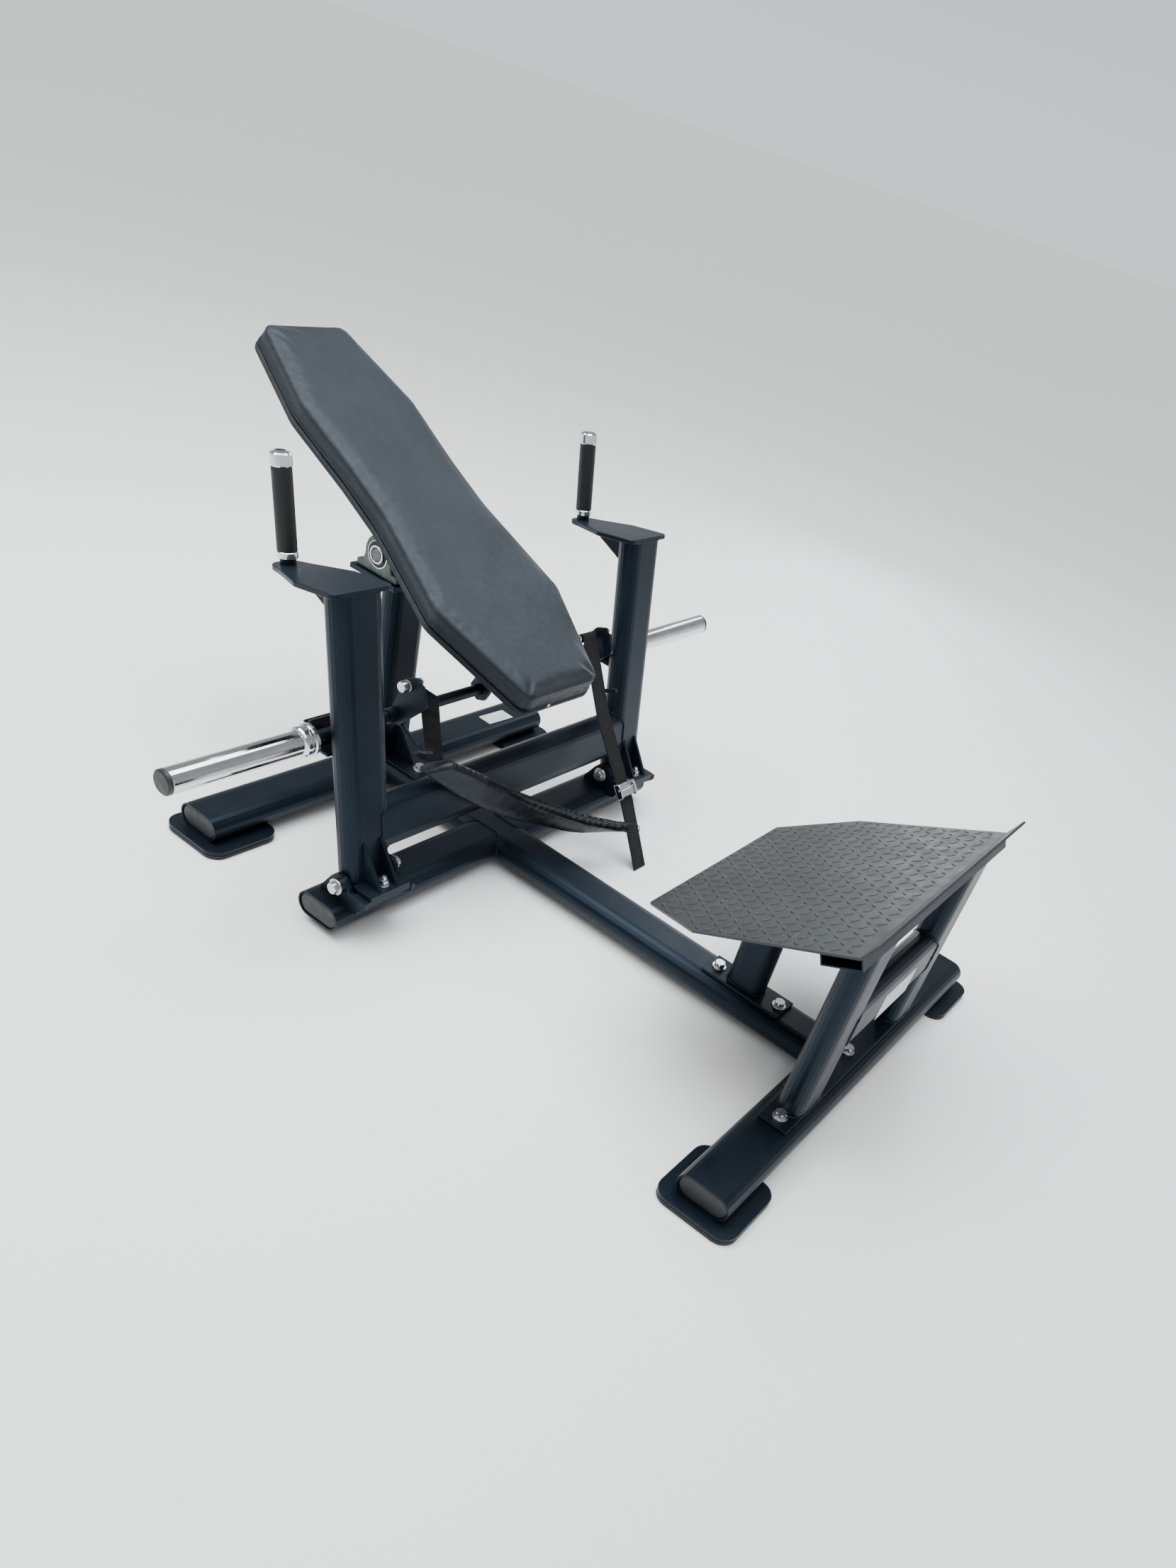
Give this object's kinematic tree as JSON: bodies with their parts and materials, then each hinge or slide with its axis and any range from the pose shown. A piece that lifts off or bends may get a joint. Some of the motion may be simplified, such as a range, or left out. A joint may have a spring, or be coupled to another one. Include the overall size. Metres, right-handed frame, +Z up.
{
  "type": "hip thrust machine",
  "caption": "Gym machine with a pivoting padded bench, a lifting weight bar with sleeves, hip belt, angled footplate and grip posts on a flat-oval tube frame.",
  "frame": {"origin": "floor level at the middle of the footprint", "axes": "+X across the machine to its right-hand side, -Y towards the footplate, +Z up"},
  "size_m": [1.75, 1.9366, 0.9571],
  "materials": {
    "black_paint": "satin fine-textured powder coat",
    "chrome": "polished",
    "cast_housing": "painted casting",
    "vinyl": "matt fine-grained vinyl",
    "board": "matt",
    "rubber": "matt",
    "plastic": "satin",
    "webbing": "woven nylon",
    "tread": "raised anti-slip pattern, worn satin paint"
  },
  "bodies": {
    "frame": {"rear_beam": "black_paint", "front_beam": "black_paint", "spine": "black_paint", "middle_beam_left": "black_paint", "middle_beam_right": "black_paint", "foot_plate_rear_left": "black_paint", "foot_plate_rear_right": "black_paint", "foot_plate_front_left": "black_paint", "foot_plate_front_right": "black_paint", "upright_left": "black_paint", "upright_right": "black_paint", "raised_cross_tube": "black_paint", "clevis_left": "black_paint", "clevis_right": "black_paint", "top_plate_left": "black_paint", "top_plate_right": "black_paint", "centre_post": "black_paint", "post_base": "black_paint", "footplate_rail": "black_paint", "front_stand": "black_paint", "front_brace": "black_paint", "rear_leg": "black_paint", "rear_cap_left": "plastic", "rear_cap_right": "plastic", "middle_cap_left": "plastic", "middle_cap_right": "plastic", "front_cap_left": "plastic", "front_cap_right": "plastic", "foot_pad_rear_left": "rubber", "foot_pad_rear_right": "rubber", "foot_pad_front_left": "rubber", "foot_pad_front_right": "rubber", "handle_grip_left": "rubber", "handle_grip_right": "rubber", "stop_block_left": "rubber", "stop_block_right": "rubber", "pivot_bolt_left": "chrome", "pivot_bolt_right": "chrome", "handle_ring_left": "chrome", "handle_ring_right": "chrome", "handle_cap_left": "chrome", "handle_cap_right": "chrome", "pillow_block_left": "cast_housing", "pillow_block_right": "cast_housing", "footplate": "tread"},
    "pad": {"pad_cushion": "vinyl", "backing_board": "board", "pad_carrier": "black_paint", "pad_shaft": "chrome"},
    "bar": {"weight_bar": "black_paint", "sleeve_left": "chrome", "sleeve_right": "chrome", "sleeve_cap_left": "plastic", "sleeve_cap_right": "plastic", "belt": "webbing", "strap_left": "webbing", "strap_right": "webbing", "buckle_frame": "chrome"},
    "buckle_lever": {"buckle_lever": "chrome"}
  },
  "joints": [
    {"name": "pad_tilt", "type": "hinge", "parent": "frame", "child": "pad", "pos_m": [0, 0.55187, 0.60605], "axis": [-1, 0, 0], "range_deg": [0, 20]},
    {"name": "bar_lift", "type": "slide", "parent": "frame", "child": "bar", "axis": [0, 0.1745, 0.9847], "range_m": [0, 0.133]},
    {"name": "buckle_release", "type": "hinge", "parent": "bar", "child": "buckle_lever", "pos_m": [0.279, -0.00981, 0.19145], "axis": [-1, 0, 0], "range_deg": [0, 95]}
  ],
  "couplings": [
    {"joint": "pad_tilt", "follows": "bar_lift", "rad_per_m": 2.6246}
  ]
}
